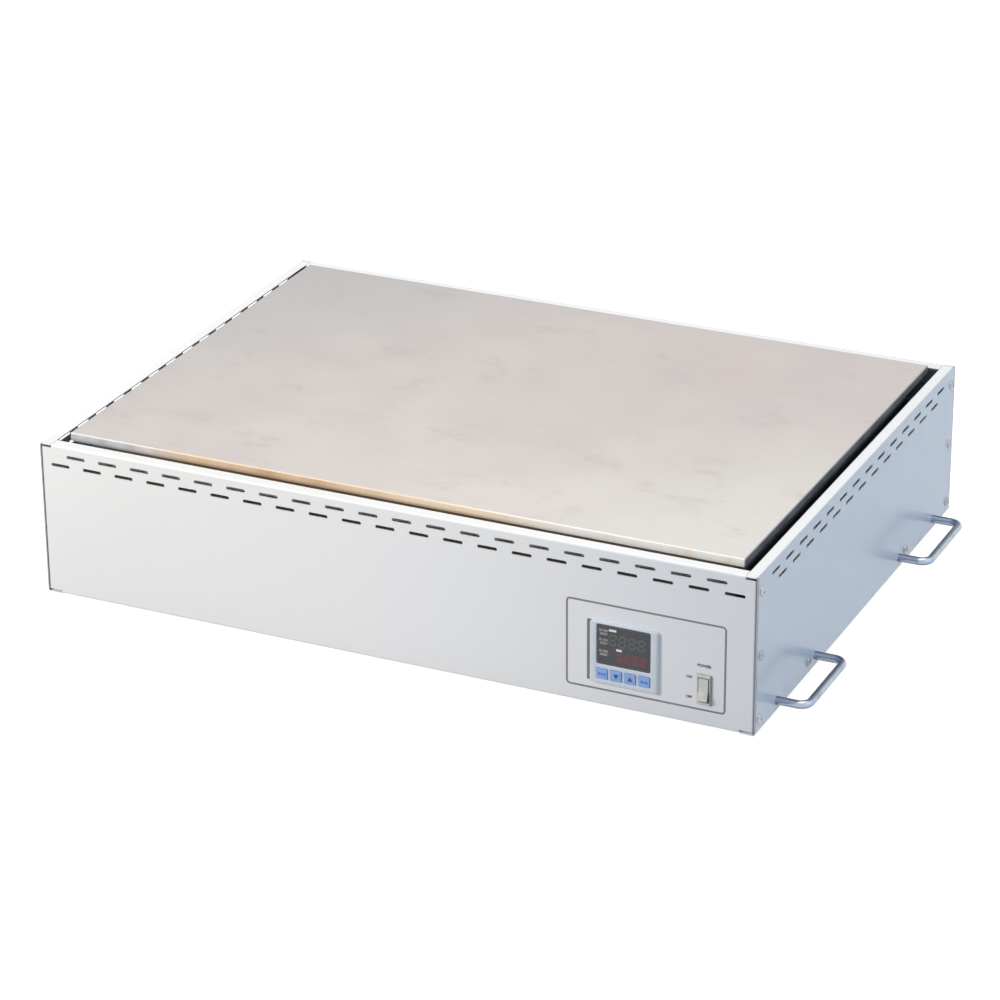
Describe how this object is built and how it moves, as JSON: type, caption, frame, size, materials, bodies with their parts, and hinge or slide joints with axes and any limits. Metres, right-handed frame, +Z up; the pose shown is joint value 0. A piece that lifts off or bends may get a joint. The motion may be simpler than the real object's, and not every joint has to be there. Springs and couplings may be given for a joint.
{
  "type": "laboratory hot plate",
  "caption": "Bench hot plate: a flat steel heating plate in a folded, vented steel casing with side handles, a temperature controller with keys and a rocker power switch.",
  "frame": {"origin": "on the bench under the middle of the casing", "axes": "+X to the right as seen from the control side, +Y to the rear, +Z up"},
  "size_m": [0.808, 0.559, 0.1755],
  "materials": {
    "painted_casing": "smooth semi-gloss off-white enamel",
    "plate_steel": "ground steel plate, faintly mottled, heat-tinted front edge",
    "chrome_bar": "bright chrome plating",
    "screw_steel": "nickel-plated, round heads",
    "rubber_foot": "matt black rubber",
    "bezel_plastic": "fine-textured pale blue-grey moulding",
    "window_plastic": "smoked, glossy",
    "key_plastic": "satin blue",
    "ivory_plastic": "smooth ivory moulding",
    "black_plastic": "matt black moulding",
    "circuit_board": "green solder resist",
    "zinc_sheet": "zinc-coated, dull",
    "dark_sheet": "sheet steel blackened against rust and heat",
    "element_steel": "dark oxidised sheath",
    "insulation_fibre": "white ceramic fibre board",
    "heat_sink_metal": "mill-finished extrusion",
    "terminal_brass": "bare brass"
  },
  "bodies": {
    "casing": {"bottom_plate": "zinc_sheet", "cable_gland": "black_plastic", "casing_screws": "screw_steel", "clamp_bar_left": "zinc_sheet", "clamp_bar_middle": "zinc_sheet", "clamp_bar_right": "zinc_sheet", "clamp_screws": "zinc_sheet", "controller_bezel": "bezel_plastic", "controller_case": "black_plastic", "controller_mounting_frame": "black_plastic", "cutout_screws": "zinc_sheet", "display_board": "circuit_board", "display_window": "window_plastic", "earth_screw": "terminal_brass", "foot_front_left": "rubber_foot", "foot_front_right": "rubber_foot", "foot_nuts": "zinc_sheet", "foot_rear_left": "rubber_foot", "foot_rear_right": "rubber_foot", "foot_screws": "zinc_sheet", "front_panel": "painted_casing", "gland_cap": "black_plastic", "gland_lock_nut": "black_plastic", "handle_front_left": "chrome_bar", "handle_front_right": "chrome_bar", "handle_rear_left": "chrome_bar", "handle_rear_right": "chrome_bar", "handle_screws": "zinc_sheet", "heat_shield_tray": "dark_sheet", "heating_element_front": "element_steel", "heating_element_middle": "element_steel", "heating_element_rear": "element_steel", "heating_plate": "plate_steel", "insulation_board": "insulation_fibre", "left_side_panel": "painted_casing", "overheat_cutout": "zinc_sheet", "post_screws": "zinc_sheet", "rear_panel": "painted_casing", "relay_heat_sink": "heat_sink_metal", "relay_screws": "zinc_sheet", "right_side_panel": "painted_casing", "sensor_clip": "zinc_sheet", "sensor_screw": "zinc_sheet", "solid_state_relay": "black_plastic", "support_post_front_left": "zinc_sheet", "support_post_front_right": "zinc_sheet", "support_post_rear_left": "zinc_sheet", "support_post_rear_right": "zinc_sheet", "switch_housing": "ivory_plastic", "switch_terminals": "terminal_brass", "temperature_sensor": "element_steel", "terminal_block": "black_plastic", "terminal_block_screws": "zinc_sheet"},
    "rocker": {"switch_rocker": "ivory_plastic"},
    "menu_key": {"key_menu": "key_plastic"},
    "down_key": {"key_down": "key_plastic"},
    "up_key": {"key_up": "key_plastic"},
    "shift_key": {"key_shift": "key_plastic"}
  },
  "joints": [
    {"name": "rocker_tilt", "type": "hinge", "parent": "casing", "child": "rocker", "pos_m": [0.32, -0.2685, 0.0491], "axis": [1, 0, 0], "range_deg": [0, 20]},
    {"name": "menu_press", "type": "slide", "parent": "casing", "child": "menu_key", "axis": [0, 1, 0], "range_m": [0, 0.0008], "stiffness_N_per_m": 600, "springref_m": -0.0005},
    {"name": "down_press", "type": "slide", "parent": "casing", "child": "down_key", "axis": [0, 1, 0], "range_m": [0, 0.0008], "stiffness_N_per_m": 600, "springref_m": -0.0005},
    {"name": "up_press", "type": "slide", "parent": "casing", "child": "up_key", "axis": [0, 1, 0], "range_m": [0, 0.0008], "stiffness_N_per_m": 600, "springref_m": -0.0005},
    {"name": "shift_press", "type": "slide", "parent": "casing", "child": "shift_key", "axis": [0, 1, 0], "range_m": [0, 0.0008], "stiffness_N_per_m": 600, "springref_m": -0.0005}
  ]
}
